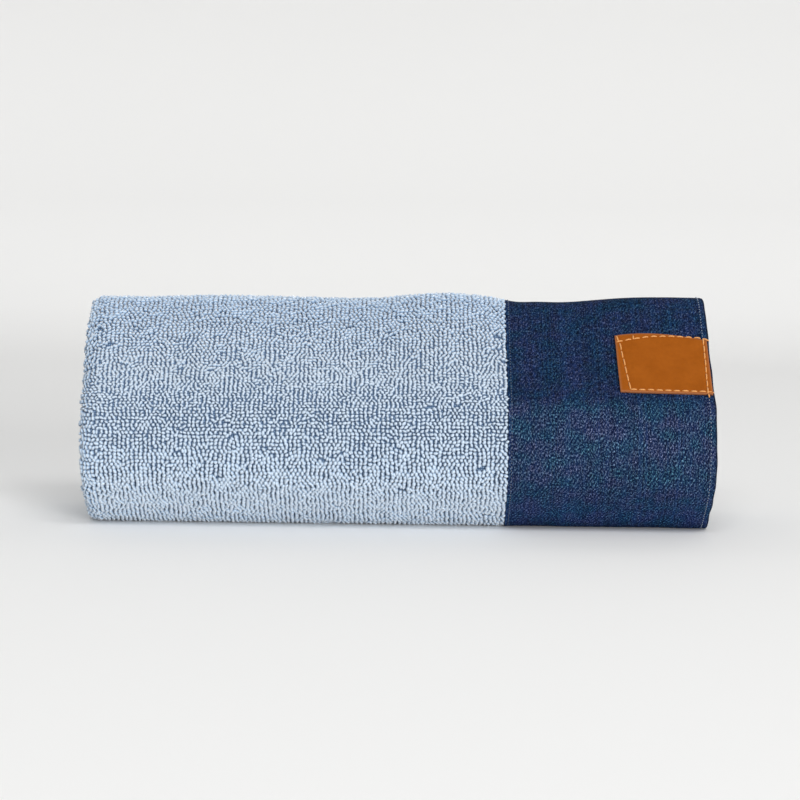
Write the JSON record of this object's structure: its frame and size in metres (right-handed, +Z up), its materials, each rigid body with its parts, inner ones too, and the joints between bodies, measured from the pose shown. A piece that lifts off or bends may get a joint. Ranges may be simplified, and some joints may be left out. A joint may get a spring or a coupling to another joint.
{
  "type": "bath towel",
  "caption": "Rolled bath towel of looped terry, folded along its length, with a denim band around the end and a leather patch sewn on the band.",
  "frame": {"origin": "on the surface under the middle of the roll", "axes": "+X along the roll to the denim end, -Y out of the front that carries the patch, +Z up"},
  "size_m": [0.3564, 0.126, 0.1298],
  "materials": {
    "terry": "light blue cotton loop pile",
    "denim": "dark indigo twill",
    "leather": "tan, smooth, soft sheen"
  },
  "bodies": {
    "root": {"terry_cloth": "terry", "denim_band": "denim", "leather_patch": "leather"}
  },
  "joints": []
}
